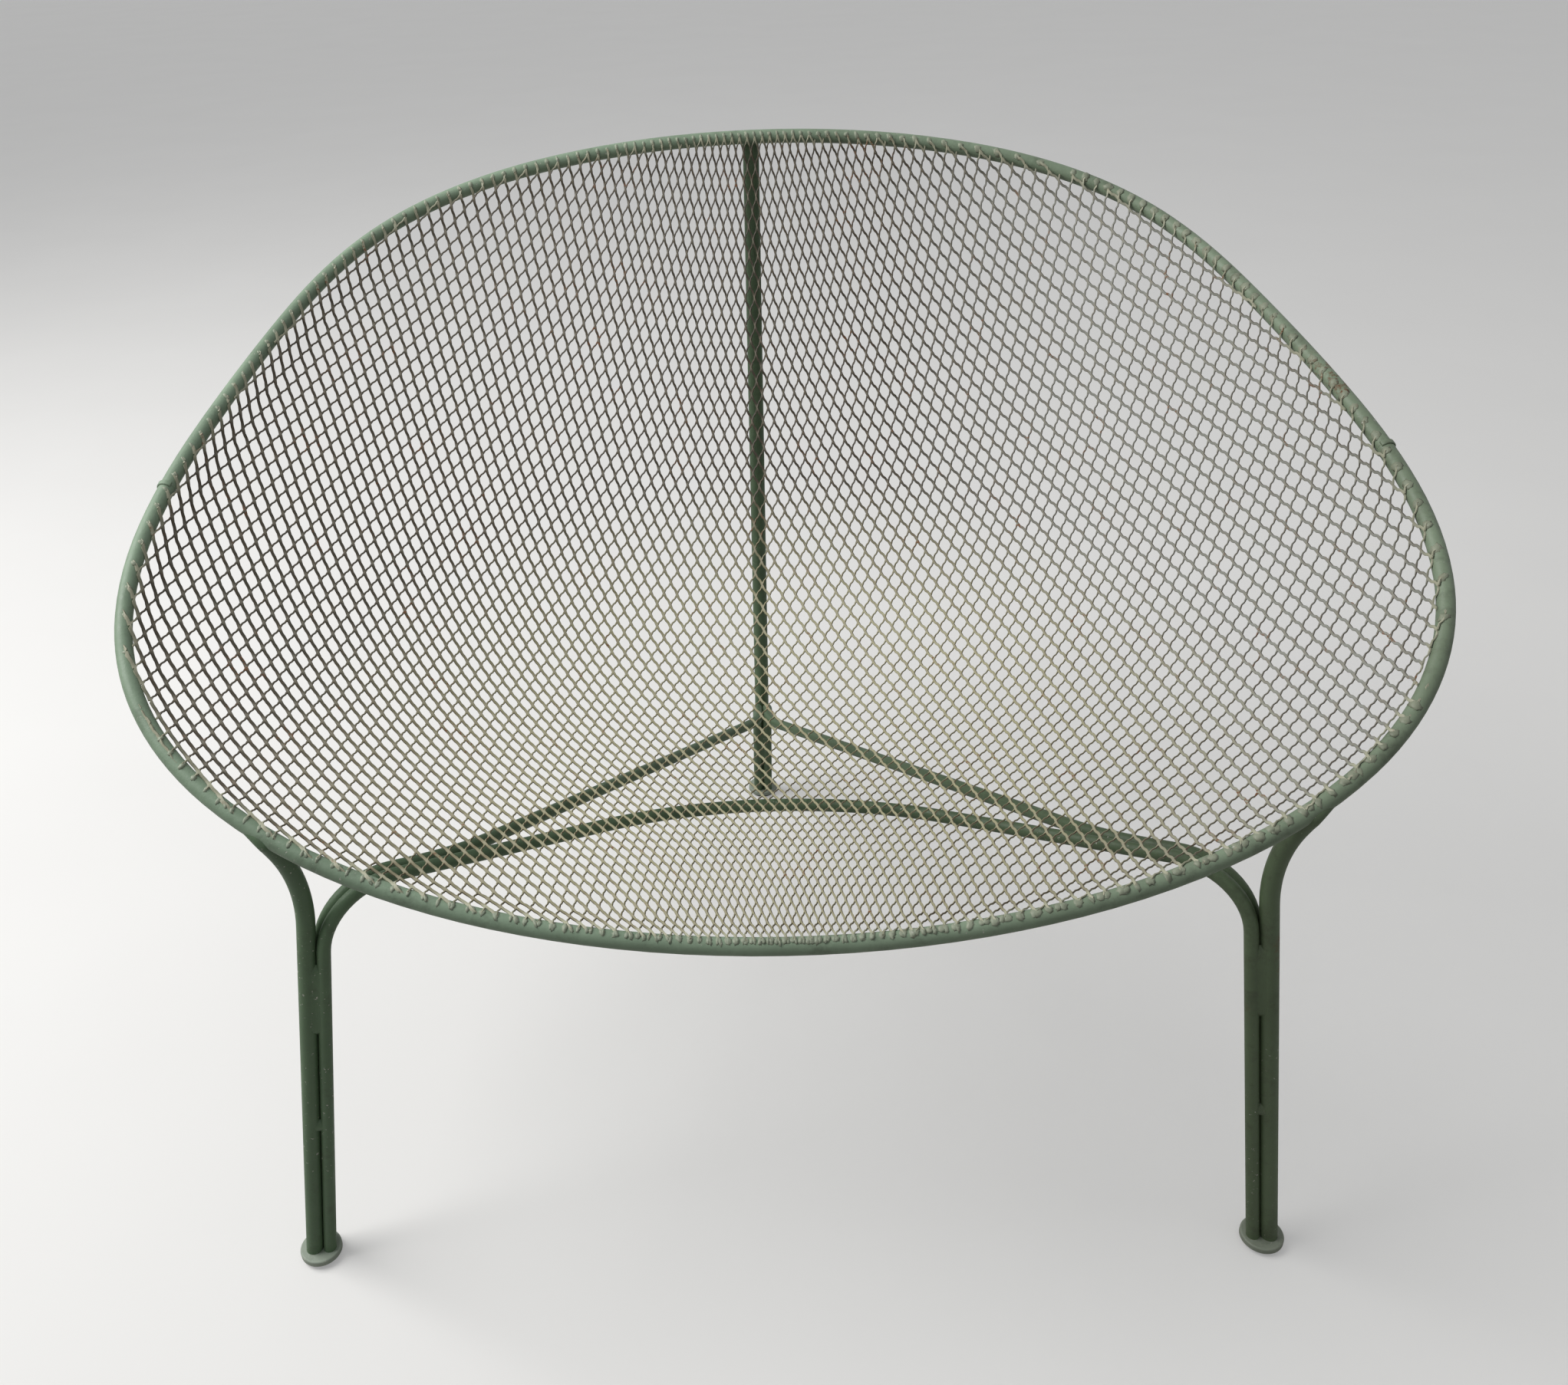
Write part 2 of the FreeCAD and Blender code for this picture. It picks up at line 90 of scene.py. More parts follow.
class Value:
    """A shader socket that can be used in sums."""

    def __init__(self, tree, socket=None):
        self.tree = tree
        self.socket = socket

    def node(self, kind, settings, sockets, output=0):
        made = self.tree.nodes.new(kind)
        for name, setting in settings.items():
            if name == "stops":
                ramp = made.color_ramp
                while len(ramp.elements) < len(setting):
                    ramp.elements.new(1)
                for element, (place, shade) in zip(ramp.elements, setting):
                    element.position = place
                    element.color = (shade, shade, shade, 1)
            else:
                setattr(made, name, setting)
        for name, value in sockets.items():
            if isinstance(value, Value):
                self.tree.links.new(value.socket, made.inputs[name])
            else:
                made.inputs[name].default_value = value
        return Value(self.tree, made.outputs[output])

    def sum(self, operation, first, second):
        return self.node("ShaderNodeMath", {"operation": operation}, {0: first, 1: second})

    def __add__(self, other):
        return self.sum("ADD", self, other)

    def __radd__(self, other):
        return self.sum("ADD", other, self)

    def __sub__(self, other):
        return self.sum("SUBTRACT", self, other)

    def __rsub__(self, other):
        return self.sum("SUBTRACT", other, self)

    def __mul__(self, other):
        return self.sum("MULTIPLY", self, other)

    def __rmul__(self, other):
        return self.sum("MULTIPLY", other, self)

    def noise(self, scale, detail=2, rough=0.5):
        place = self.node("ShaderNodeTexCoord", {}, {}, "Object")
        return self.node("ShaderNodeTexNoise", {}, {"Vector": place, "Scale": scale, "Detail": detail,
                                                    "Roughness": rough}, "Fac")

    def place(self, axis):
        spot = self.node("ShaderNodeTexCoord", {}, {}, "Object")
        return self.node("ShaderNodeSeparateXYZ", {}, {"Vector": spot}, axis)

    def above(self, low, high):
        return self.node("ShaderNodeValToRGB", {"stops": ((low, 0), (high, 1))}, {"Fac": self})

    def blend(self, first, second):
        colours = [c if isinstance(c, Value) else (*c, 1) for c in (first, second)]
        return self.node("ShaderNodeMix", {"data_type": "RGBA"}, {0: self, 6: colours[0], 7: colours[1]}, 2)

    def bump(self, strength, distance):
        sockets = {"Height": self, "Strength": strength, "Distance": distance}
        return self.node("ShaderNodeBump", {}, sockets, "Normal")

    def tally(self, name):
        return self.node("ShaderNodeAttribute", {"attribute_name": name}, {}, "Fac")


def new_material(name):
    material = bpy.data.materials.new(name)
    material.use_nodes = True
    shader = material.node_tree.nodes["Principled BSDF"]
    return material, shader, Value(material.node_tree)


def join_up(shader, sockets):
    for name, value in sockets.items():
        value.tree.links.new(value.socket, shader.inputs[name])


RIGHT_SIDE_BROWN = (0.13, 0.118, 0.066)
GRIME = (0.05, 0.054, 0.034)
RUST = (0.13, 0.055, 0.024)
PRIMER = (0.5, 0.5, 0.43)


def bar_paint(name, dark, pale, chipped, rusted):
    """Brushed paint between two greens, with more or less of the patches where it is chipped or rusted."""
    material, shader, start = new_material(name)
    toward_right = (start.place("X") + 0.5).above(0.35, 0.95)
    cloud = start.noise(11, 5, 0.6).above(0.3, 0.72)
    brush = start.noise(160, 3).above(0.25, 0.75)
    colour = (cloud * 0.75 + brush * 0.25).blend(dark, pale)
    # Browner towards the right of the chair.
    colour = (toward_right * 0.3).blend(colour, RIGHT_SIDE_BROWN)
    grime = (start.noise(46, 6, 0.7) + 0.06 * toward_right).above(0.56, 0.78) * 0.55
    colour = grime.blend(colour, GRIME)
    rusty = (start.noise(9, 2) + 0.07 * toward_right).above(0.68 - rusted, 0.76 - rusted)
    rust_and_slit_shade = rusty * start.noise(120, 5, 0.75).above(0.5, 0.62)
    colour = rust_and_slit_shade.blend(colour, RUST)
    bare_patch = start.noise(13, 2).above(0.56 - chipped, 0.66 - chipped)
    chips = bare_patch * start.noise(310, 3, 0.6).above(0.665, 0.69)
    colour = chips.blend(colour, PRIMER)
    rough = 0.4 + 0.2 * brush + 0.3 * rust_and_slit_shade + 0.1 * grime
    height = 0.6 * start.noise(90, 3) + 0.35 * start.noise(520, 2) - 0.5 * chips + 0.3 * rust_and_slit_shade
    shader.inputs["Specular IOR Level"].default_value = 0.4
    join_up(shader, {"Base Color": colour, "Roughness": rough, "Normal": height.bump(0.5, 0.0007)})
    return material


def paint_nodes(material, *names):
    for name in names:
        slots = frame["nodes"][name].data.materials
        slots.clear()
        slots.append(material)


rim_paint = bar_paint("rim_paint", (0.162, 0.228, 0.153), (0.28, 0.38, 0.265), 0.02, 0.0)
paint_nodes(rim_paint, "rim_front_hoop", "rim_back_hoop", "rim_weld_left", "rim_weld_right")


# Seat mesh. One sheet of raised expanded steel, slit and stretched, then pressed into the dish: every
# strand is tilted between its two knots. It laps up onto the rim bar and is welded there. Thin khaki
# paint, brown on the back, with painted shade darkening its middle and right, paler olive in the seat
# (partly its own paint, partly painted light on the upward-facing seat), painted light making the right
# paler grey, painted brown shade in the slits and specks of rusty paint.

# The dish, in metres: m runs from -1 at the front of the hoop to 1 at its back
HOOP_LENGTH = 0.843
FRONT_HEIGHT = 0.38
TILT = math.radians(27.3)
RIM_RADIUS = 0.0065
SET_FORWARD = -(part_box("rim_front_hoop")[0][1] + RIM_RADIUS)


def half_width(m):
    return 0.478 - 0.085 * m + 0.177 * m ** 2 + 0.083 * m ** 3


def arm_rise(m):
    return 0.036 - 0.063 * m - 0.026 * m ** 2


def dish_depth(m):
    return 0.306 - 0.045 * m - 0.139 * m ** 2


def lifted(x, m, height):
    along = HOOP_LENGTH * (1 + m) / 2
    back = along * math.cos(TILT) - height * math.sin(TILT) - SET_FORWARD
    up = FRONT_HEIGHT + along * math.sin(TILT) + height * math.cos(TILT)
    return np.stack([x, back, up], -1)


def dish(x, m):
    height = (1 - m ** 2) * arm_rise(m) - dish_depth(m) * ((1 - m ** 2) - (x / half_width(m)) ** 2)
    return lifted(x, m, height)


def dish_normal(x, m):
    across = dish(x + 1e-4, m) - dish(x - 1e-4, m)
    along = dish(x, m + 1e-4) - dish(x, m - 1e-4)
    normal = np.cross(across, along)
    return normal / np.linalg.norm(normal, axis=-1, keepdims=True)


def rim_line(angle):
    m = -np.cos(angle)
    return lifted(half_width(m) * np.sin(angle), m, (1 - m ** 2) * arm_rise(m))


# The lattice of knots: the first row crosses the dish from arm to arm, and the others follow from it
STRAND_LENGTH = 0.0146
KNOT_SPACING = 0.01352
KNOTS_ASIDE = 75
ROWS = 62
ROW_RISE = 0.012
ROW_PLACE = 0.0923
ROW_SAG = 0.0568
ARM_REACH = 0.48
ARM_STRETCH = 0.038
LARGEST_STEP = 0.006


def first_row_line(x):
    return ROW_PLACE - ROW_SAG * (x / ARM_REACH) ** 2


def first_row():
    row = np.zeros(2 * KNOTS_ASIDE + 1)
    x = 0.0
    for knot in range(1, KNOTS_ASIDE + 1):
        m = first_row_line(x)
        slope = 2 * dish_depth(m) * x / half_width(m) ** 2
        x += KNOT_SPACING * (1 + ARM_STRETCH * (x / ARM_REACH) ** 2) / math.sqrt(1 + slope ** 2)
        row[KNOTS_ASIDE + knot] = x
        row[KNOTS_ASIDE - knot] = -x
    return np.stack([row, first_row_line(row)])


def next_row(row, guess):
    """Knots one strand's length from each pair of neighbours in the row before."""
    left = dish(*row[:, :-1])
    right = dish(*row[:, 1:])
    x, m = guess
    for _ in range(8):
        here = dish(x, m)
        to_left = here - left
        to_right = here - right
        far_left = np.linalg.norm(to_left, axis=1)
        far_right = np.linalg.norm(to_right, axis=1)
        across = (dish(x + 1e-6, m) - here) / 1e-6
        along = (dish(x, m + 2e-6 / HOOP_LENGTH) - here) / 1e-6
        a = (to_left * across).sum(1) / far_left
        b = (to_left * along).sum(1) / far_left
        c = (to_right * across).sum(1) / far_right
        d = (to_right * along).sum(1) / far_right
        turn = a * d - b * c
        turn = np.where(np.abs(turn) < 1e-4, 1e-4, turn)
        over_left = far_left - STRAND_LENGTH
        over_right = far_right - STRAND_LENGTH
        x = x - np.clip((over_left * d - over_right * b) / turn, -LARGEST_STEP, LARGEST_STEP)
        step = np.clip((a * over_right - c * over_left) / turn, -LARGEST_STEP, LARGEST_STEP)
        m = m - step * 2 / HOOP_LENGTH
    return np.stack([x, m])


# The knots fill a square grid whose diagonal is the first row, so each grid face is one opening
SIDE = 2 * KNOTS_ASIDE + 1
knots = np.full((2, SIDE, SIDE), np.nan)
start_row = first_row()
for end in (-1, 1):
    row, before = start_row, None
    for count in range(ROWS + 1):
        place = np.arange(row.shape[1])
        if end < 0:
            knots[:, place, SIDE - 1 - count - place] = row
        else:
            knots[:, place + count, SIDE - 1 - place] = row
        if before is None:
            guess = (row[:, :-1] + row[:, 1:]) / 2
            guess[1] += end * 2 * ROW_RISE / HOOP_LENGTH
        else:
            guess = row[:, :-1] + row[:, 1:] - before[:, 1:-1]
        row, before = next_row(row, guess), row

RIM_STEPS = 2880
POINTS_AT_ONCE = 2000
PAST_HOOP = 1.1
rim_angles = np.linspace(-math.pi, math.pi, RIM_STEPS + 1)
rim_points = rim_line(rim_angles)


def to_rim(points):
    """Nearest rim point, and the distance inside it."""
    nearest = np.empty(len(points), int)
    gap = np.empty(len(points))
    for first in range(0, len(points), POINTS_AT_ONCE):
        some = slice(first, first + POINTS_AT_ONCE)
        away = ((points[some, None] - rim_points[None]) ** 2).sum(2)
        nearest[some] = away.argmin(1)
        gap[some] = np.sqrt(away.min(1))
    return nearest, gap


def inside_rim(x, m):
    return (np.abs(m) < 1) & ((x / half_width(m)) ** 2 < 1 - m ** 2)


flat = knots.reshape(2, -1)
made = np.isfinite(flat[0]) & (np.abs(flat[1]) < PAST_HOOP)
places = np.zeros((flat.shape[1], 3))
places[made] = dish(*flat[:, made])
nearest, gap = to_rim(places[made])
depth = np.full(flat.shape[1], -1.0)
depth[made] = np.where(inside_rim(*flat[:, made]), gap, -gap)
depth = depth.reshape(SIDE, SIDE)
places = places.reshape(SIDE, SIDE, 3)

# The sheet is cut and stretched flat first, with one square of the grid for each opening that lies inside
# the rim or reaches a little past it
PAST_RIM = 0.006
FAR_OUT = 0.05
SLIT_INSET = 0.064
bpy.ops.mesh.primitive_grid_add(x_subdivisions=SIDE - 1, y_subdivisions=SIDE - 1, size=SIDE - 1,
                                location=((SIDE - 1) / 2, (SIDE - 1) / 2, 0))
net = bpy.context.object
net.name = "seat_net"
bpy.ops.object.transform_apply(location=True)


def corners_of(mesh):
    corners = np.empty(len(mesh.vertices) * 3)
    mesh.vertices.foreach_get("co", corners)
    return corners.reshape(-1, 3)


def choose_corners(piece, chosen):
    bpy.ops.object.mode_set(mode="EDIT")
    bpy.ops.mesh.select_mode(type="VERT")
    bpy.ops.mesh.select_all(action="DESELECT")
    bpy.ops.object.mode_set(mode="OBJECT")
    piece.data.vertices.foreach_set("select", chosen)
    bpy.ops.object.mode_set(mode="EDIT")


wanted = np.zeros((SIDE, SIDE), bool)
block = np.stack([depth[:-1, :-1], depth[1:, :-1], depth[:-1, 1:], depth[1:, 1:]])
cells = (block.max(0) > -PAST_RIM) & (block.min(0) > -FAR_OUT)
for a in (0, 1):
    for b in (0, 1):
        wanted[a:SIDE - 1 + a, b:SIDE - 1 + b] |= cells
lattice = np.round(corners_of(net.data)[:, :2]).astype(int)
choose_corners(net, ~wanted[lattice[:, 0], lattice[:, 1]])
bpy.ops.mesh.delete(type="VERT")
bpy.ops.mesh.select_all(action="SELECT")
bpy.ops.mesh.subdivide(number_cuts=2)
bpy.ops.object.mode_set(mode="OBJECT")
share = corners_of(net.data)[:, :2] % 1
choose_corners(net, (np.abs(share - 0.5) < 0.3).all(1))
bpy.ops.mesh.dissolve_verts()
bpy.ops.mesh.select_mode(type="FACE")
bpy.ops.mesh.select_all(action="SELECT")
bpy.ops.mesh.inset(thickness=SLIT_INSET, use_individual=True)
bpy.ops.object.mode_set(mode="OBJECT")

# Round the tips of the openings and tilt the strands: the edge on the left of each opening stands up and
# the one on its right sinks. Each strand sways, more on the right, and leaves its knots along the openings.
# On the left the strands that fall to the right are the wider ones. Shares are of an opening's side
TIP_ROUND = 0.06
STRAND_TILT = -0.001
LEFT_SWAY = 0.0231
MORE_SWAY_RIGHT = 0.0378
UNEVEN_INSET = 0.0288
EVEN_PLACE = 1.1
lattice = corners_of(net.data)[:, :2]
slit = np.zeros(len(lattice))
side = np.zeros(len(lattice))
pull = np.zeros(len(lattice))
for face in net.data.polygons:
    if face.select:
        slit[list(face.vertices)] = 1
cell = np.floor(lattice + 1e-4)
share = lattice - cell
on_edge = slit == 0
from_middle = share - 0.5
side[~on_edge] = (from_middle[:, 0] - from_middle[:, 1])[~on_edge]
along = from_middle.sum(1)
tip = (slit == 1) & (np.abs(along) > 0.66)
pull[tip] = -np.sign(along[tip]) * TIP_ROUND
on_a = on_edge & (share[:, 0] > 0.1) & (share[:, 0] < 0.9)
on_b = on_edge & (share[:, 1] > 0.1) & (share[:, 1] < 0.9)
side[on_a] = from_middle[on_a, 0]
side[on_b] = -from_middle[on_b, 1]
beside = (slit == 1)[:, None] & (np.abs(from_middle) > 0.3) & (np.abs(from_middle[:, ::-1]) < 0.3)
rightward = 0.5 + (lattice[:, 0] - lattice[:, 1]) / (2 * SIDE)
sway = LEFT_SWAY + MORE_SWAY_RIGHT * rightward
edge_side = np.where((slit == 1)[:, None] & (np.abs(from_middle) > 0.4), np.sign(from_middle), 0)
uneven = UNEVEN_INSET * (EVEN_PLACE - rightward)
for sways, place in ((on_a | beside[:, 1], 0), (on_b | beside[:, 0], 1)):
    pull[sways] = -np.sign(from_middle[sways, place]) * sway[sways]
at_knot = on_edge & ~on_a & ~on_b
lattice = lattice + pull[:, None] + uneven[:, None] * edge_side * np.array([-1, 1])
lift = side * STRAND_TILT


def over_knots(values):
    """Values at the knots, read between them at each corner of the mesh."""
    a, b = np.floor(lattice + 1e-6).astype(int).clip(0, SIDE - 2).T
    u, v = (lattice - np.stack([a, b], 1)).T
    return ((1 - u) * (1 - v) * values[a, b] + u * (1 - v) * values[a + 1, b]
            + (1 - u) * v * values[a, b + 1] + u * v * values[a + 1, b + 1])


x = over_knots(np.nan_to_num(knots[0]))
m = over_knots(np.nan_to_num(knots[1]))
spot = dish(x, m)
sheet_normal = dish_normal(x, m)

# Lap: within a few strands of the rim the sheet leaves the dish, climbs to the top of the bar, follows
# it round and sinks into the paint. Turns are in degrees, the rest in metres
STRAND_THICK = 0.0013
LAP_START = 0.026
LAP_LONGEST = 0.03
TOP_TURN = 97
FRONT_TURN = 10
RIGHT_TURN = 4
LEFT_TURN = 10
SINK_RUN = 0.004
SINK_DEPTH = 0.0035
rim_tangent = rim_line(rim_angles + 1e-3) - rim_line(rim_angles - 1e-3)
rim_tangent /= np.linalg.norm(rim_tangent, axis=1, keepdims=True)
rim_m = -np.cos(rim_angles)
rim_normal = dish_normal(half_width(rim_m) * np.sin(rim_angles), rim_m)
rim_normal -= (rim_normal * rim_tangent).sum(1, keepdims=True) * rim_tangent
rim_normal /= np.linalg.norm(rim_normal, axis=1, keepdims=True)
rim_inward = np.cross(rim_tangent, rim_normal)
rim_inward *= np.sign((rim_inward * (dish(np.zeros(1), np.zeros(1)) - rim_points)).sum(1, keepdims=True))
RIDE = RIM_RADIUS + 0.5 * STRAND_THICK
TOUCH = math.acos(RIDE / LAP_START)
RUN = math.sqrt(LAP_START ** 2 - RIDE ** 2)


def lap_end(angle):
    """How far inside the rim's axis the strands sink into the bar: just past its top."""
    front = np.clip(np.cos(angle), 0, 1) ** 2
    right = np.clip(np.sin(angle), 0, 1)
    left = np.clip(-np.sin(angle), 0, 1)
    around = np.radians(TOP_TURN + FRONT_TURN * front + RIGHT_TURN * right + LEFT_TURN * left)
    return LAP_START - RUN - (around - TOUCH) * RIDE


def lap_path(inside, angle):
    """Place across the bar, inward and upward, and the upward direction there, for a distance inside."""
    straight = np.clip((inside - LAP_START + RUN) / RUN, 0, 1)
    around = TOUCH + np.clip(LAP_START - RUN - inside, 0, LAP_LONGEST) / RIDE
    sunk = np.clip((lap_end(angle) - inside) / SINK_RUN, 0, 1)
    reach = RIDE - SINK_DEPTH * sunk
    on_bar = np.stack([np.cos(around), np.sin(around)], -1)
    touch_point = RIDE * np.array([math.cos(TOUCH), math.sin(TOUCH)])
    on_ramp = touch_point + straight[:, None] * (np.array([LAP_START, 0]) - touch_point)
    ramp = straight[:, None] > 0
    up = np.where(ramp, np.array([math.cos(TOUCH), math.sin(TOUCH)]), on_bar)
    return np.where(ramp, on_ramp, reach[:, None] * on_bar), up


# Angles round the rim, in radians from its front, between which the side parts lie
FRONT_PART = 0.9
BACK_PART = 2.6


def ends_inside(angle, family):
    """Where a family of strands runs along the rim and stops short of it: 0 rises to the right, 1 falls."""
    right_side = (angle > FRONT_PART) & (angle < BACK_PART)
    left_side = (angle < -FRONT_PART) | (angle >= BACK_PART)
    return right_side if family else left_side


NEAR_RIM = 0.045
LAP_PAINT_START = 0.012
EDGE_THICK_SHARE = 0.65
by_rim = over_knots(depth) < NEAR_RIM
near = np.zeros(len(spot), int)
gap = np.ones(len(spot))
near[by_rim], gap[by_rim] = to_rim(spot[by_rim])
outward = ((spot - rim_points[near]) * rim_inward[near]).sum(1)
inside = np.where(outward > 0, gap, np.maximum(outward, -LAP_LONGEST))
inside[~by_rim] = 1
path, up = lap_path(inside, rim_angles[near])
lapped = rim_points[near] + path[:, :1] * rim_inward[near] + path[:, 1:] * rim_normal[near]
lapped_up = up[:, :1] * rim_inward[near] + up[:, 1:] * rim_normal[near]
slide = ((spot - rim_points[near]) * rim_tangent[near]).sum(1, keepdims=True) * rim_tangent[near]
lapping = (inside < LAP_START)[:, None]
spot = np.where(lapping, lapped + slide + lift[:, None] * lapped_up, spot + lift[:, None] * sheet_normal)
net.data.vertices.foreach_set("co", spot.ravel())
lap_share = np.clip(1 - inside / LAP_PAINT_START, 0, 1)
for name, values in (("slit", slit), ("knot", at_knot), ("lap", lap_share)):
    mark = net.data.attributes.new(name, "FLOAT", "POINT")
    mark.data.foreach_set("value", values.astype(np.float32))
thick = net.vertex_groups.new(name="thick")
thick.add(np.flatnonzero(slit == 0).tolist(), 1.0, "REPLACE")
thick.add(np.flatnonzero(slit == 1).tolist(), EDGE_THICK_SHARE, "REPLACE")
bpy.ops.object.mode_set(mode="EDIT")
bpy.ops.mesh.delete(type="ONLY_FACE")
bpy.ops.object.mode_set(mode="OBJECT")

# Cut the ends: the strands that climb the bar end where they are buried in it, and the family that runs
# along the rim ends just before it touches the bar. What no longer hangs on the net is deleted
SHORT_STRAND_END = 0.0025
BURIED_END = 0.0075
over = (inside < SHORT_STRAND_END) & by_rim
past_end = inside < lap_end(rim_angles[near]) - BURIED_END
cut_short = on_a & ends_inside(rim_angles[near], 0) | on_b & ends_inside(rim_angles[near], 1)
choose_corners(net, past_end | over & cut_short)
bpy.ops.mesh.delete(type="VERT")
bpy.ops.mesh.select_all(action="SELECT")
bpy.ops.mesh.delete_loose(use_verts=True, use_edges=True, use_faces=False)
bpy.ops.object.mode_set(mode="OBJECT")
from_centre = np.linalg.norm(corners_of(net.data)[:, :2], axis=1)
choose_corners(net, from_centre == from_centre.min())
bpy.ops.mesh.select_linked()
bpy.ops.mesh.select_all(action="INVERT")
bpy.ops.mesh.delete(type="VERT")
bpy.ops.object.mode_set(mode="OBJECT")


def apply_modifier(piece, kind, **settings):
    bpy.context.view_layer.objects.active = piece
    modifier = piece.modifiers.new(kind, kind)
    for name, setting in settings.items():
        setattr(modifier, name, setting)
    bpy.ops.object.modifier_apply(modifier=modifier.name)


apply_modifier(net, "SOLIDIFY", thickness=STRAND_THICK, offset=0, vertex_group="thick")
bpy.ops.object.shade_smooth_by_angle(angle=math.radians(55))


BROWN_KHAKI = (0.11, 0.09, 0.063)
GREY_KHAKI = (0.088, 0.082, 0.057)
PAINTED_CENTRE_SHADE = (0.045, 0.036, 0.025)
PAINTED_LIGHT_GREY = (0.27, 0.275, 0.24)
SEAT_OLIVE_AND_LIGHT = (0.375, 0.355, 0.215)
WORN_BROWN = (0.2, 0.145, 0.09)
KNOT_HIGHLIGHT = (0.36, 0.33, 0.255)
LAP_PALE = (0.43, 0.43, 0.31)
SLIT_SHADE_BROWN = (0.075, 0.05, 0.031)
RUST_SPOT = (0.2, 0.085, 0.035)


def strand_paint():
    """Khaki that changes with the place on the dish, with painted light and shade: a painted highlight on
    the knots, paler on the laps and painted shade in the slits.
    """
    material, shader, start = new_material("strand_paint")
    edge = start.tally("slit").above(0.7, 1)
    knot = start.tally("knot").above(0.2, 0.9)
    lap = start.tally("lap").above(0.15, 0.7)
    seat = 1 - start.place("Z").above(0.36, 0.455)
    toward_right = (start.place("X") + 0.5).above(0.63, 0.82)
    cloud = start.noise(5, 4, 0.6).above(0.32, 0.68)
    speck = start.noise(420, 3, 0.6)
    colour = cloud.blend(BROWN_KHAKI, GREY_KHAKI)
    # Painted shade: from the left towards the middle and on to the right, the khaki is darkened towards a
    # dark brown.
    centre_shade_mask = (start.place("X") + 0.5).above(0.25, 0.48)
    colour = (centre_shade_mask * 0.6).blend(colour, PAINTED_CENTRE_SHADE)
    # Painted light: the right of the net turns paler grey, where its strands face the light from the left.
    colour = toward_right.blend(colour, PAINTED_LIGHT_GREY)
    # Paler olive low in the seat: partly the paint's own tone and partly painted light, as the seat faces
    # up to the light.
    colour = seat.blend(colour, SEAT_OLIVE_AND_LIGHT)
    worn = start.noise(75, 4, 0.7).above(0.5, 0.7)
    colour = (worn * 0.4).blend(colour, WORN_BROWN)
    # Painted highlight on the knots, where their flat faces catch the light.
    colour = (knot * 0.55).blend(colour, KNOT_HIGHLIGHT)
    colour = (lap * 0.85).blend(colour, LAP_PALE)
    # Painted shade on the slit edges, browned as bounce light off a brown floor would, patchy and weaker on
    # the laps; it also roughens them.
    rust_and_slit_shade = edge * (0.5 + 0.35 * start.noise(35, 3).above(0.35, 0.65)) * (1 - 0.8 * lap)
    colour = rust_and_slit_shade.blend(colour, SLIT_SHADE_BROWN)
    spots = start.noise(30, 2).above(0.62, 0.7) * speck.above(0.52, 0.6)
    colour = spots.blend(colour, RUST_SPOT)
    rough = 0.5 + 0.25 * rust_and_slit_shade + 0.15 * worn
    shader.inputs["Specular IOR Level"].default_value = 0.35
    join_up(shader, {"Base Color": colour, "Roughness": rough, "Normal": speck.bump(0.35, 0.0004)})
    return material


net.data.materials.clear()
net.data.materials.append(strand_paint())


def split_off(piece, name, chosen):
    """Cut the chosen faces off a piece into one of their own."""
    bpy.ops.object.select_all(action="DESELECT")
    piece.select_set(True)
    bpy.context.view_layer.objects.active = piece
    bpy.ops.object.mode_set(mode="EDIT")
    bpy.ops.mesh.select_mode(type="FACE")
    bpy.ops.mesh.select_all(action="DESELECT")
    bpy.ops.object.mode_set(mode="OBJECT")
    middle = np.empty(len(piece.data.polygons) * 3)
    piece.data.polygons.foreach_get("center", middle)
    piece.data.polygons.foreach_set("select", chosen(middle.reshape(-1, 3)))
    bpy.ops.object.mode_set(mode="EDIT")
    bpy.ops.mesh.separate(type="SELECTED")
    bpy.ops.object.mode_set(mode="OBJECT")
    cut = [o for o in bpy.context.selected_objects if o != piece][0]
    cut.name = name
    return cut


SPLIT_BACK = 0.09
net.name = "seat_net_front_left"
back_left = split_off(net, "seat_net_back_left", lambda p: p[:, 1] > SPLIT_BACK)
front_right = split_off(net, "seat_net_front_right", lambda p: p[:, 0] > 0)
back_right = split_off(back_left, "seat_net_back_right", lambda p: p[:, 0] > 0)
for piece in (net, back_left, front_right, back_right):
    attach(piece, "root")
    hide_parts("seat_mesh")


# Strand ends. Each strand that reaches the rim is held by a dab of weld metal, smeared along the
# strand and buried in paint, ragged on the left side and flatter on the right.
DAB_RAGGED = np.array([0.0034, 0.0017, 0.001])
DAB_FLAT = np.array([0.0046, 0.0039, 0.0009])
FLAT_GAIN = 1.6
DAB_LUMPS = 0.22
LARGEST_LUMP = 1.2
SMALLEST_DAB = 0.75
LARGEST_DAB = 1.3
DAB_BEFORE_END = 0.0004
DAB_LEAN = 0.8
tack_paint = bar_paint("tack_paint", (0.235, 0.275, 0.2), (0.37, 0.41, 0.305), 0.05, 0.05)
knot_angle = np.zeros(SIDE * SIDE)
knot_angle[made] = rim_angles[nearest]
knot_angle = knot_angle.reshape(SIDE, SIDE)
knot_end = lap_end(knot_angle)
ends = []
for shift in ((1, 0), (0, 1)):
    first_knots = np.s_[:SIDE - shift[0], :SIDE - shift[1]]
    here = depth[first_knots]
    there = depth[shift[0]:, shift[1]:]
    sinks = knot_end[first_knots]
    crossing = (np.minimum(here, there) < sinks) & (np.maximum(here, there) > sinks)
    crossing &= np.minimum(here, there) > -FAR_OUT
    crossing &= ~ends_inside(knot_angle[first_knots], shift[1])
    for a, b in zip(*np.nonzero(crossing)):
        one, two = places[[a, a + shift[0]], [b, b + shift[1]]]
        share = (sinks[a, b] - here[a, b]) / (there[a, b] - here[a, b])
        ends.append((one + share * (two - one), (two - one) / np.linalg.norm(two - one)))

